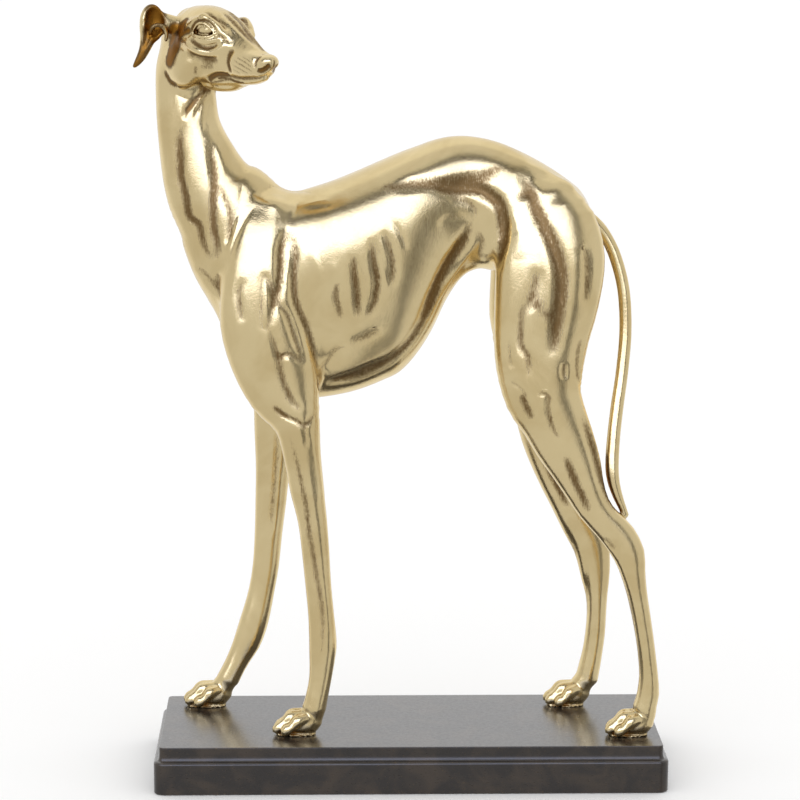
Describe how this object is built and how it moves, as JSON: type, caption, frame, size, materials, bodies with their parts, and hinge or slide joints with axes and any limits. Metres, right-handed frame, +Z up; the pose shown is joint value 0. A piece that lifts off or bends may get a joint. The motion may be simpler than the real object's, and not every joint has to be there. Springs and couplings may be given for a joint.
{
  "type": "animal statue",
  "caption": "Slender greyhound figure in polished gold leaf finish, looking back over its shoulder, standing on a dark moulded rectangular plinth.",
  "frame": {"origin": "centre of the plinth's underside", "axes": "+X to the tail end along the plinth, +Y away from the side that the hound looks to, +Z up"},
  "size_m": [0.5262, 0.197, 0.7704],
  "materials": {
    "gold": "polished champagne gold leaf with fine brushed streaks, golden brown in the recesses",
    "bronze": "dark antiqued brown with bronze flecks, satin"
  },
  "bodies": {
    "root": {"greyhound": "gold", "plinth": "bronze"}
  },
  "joints": []
}
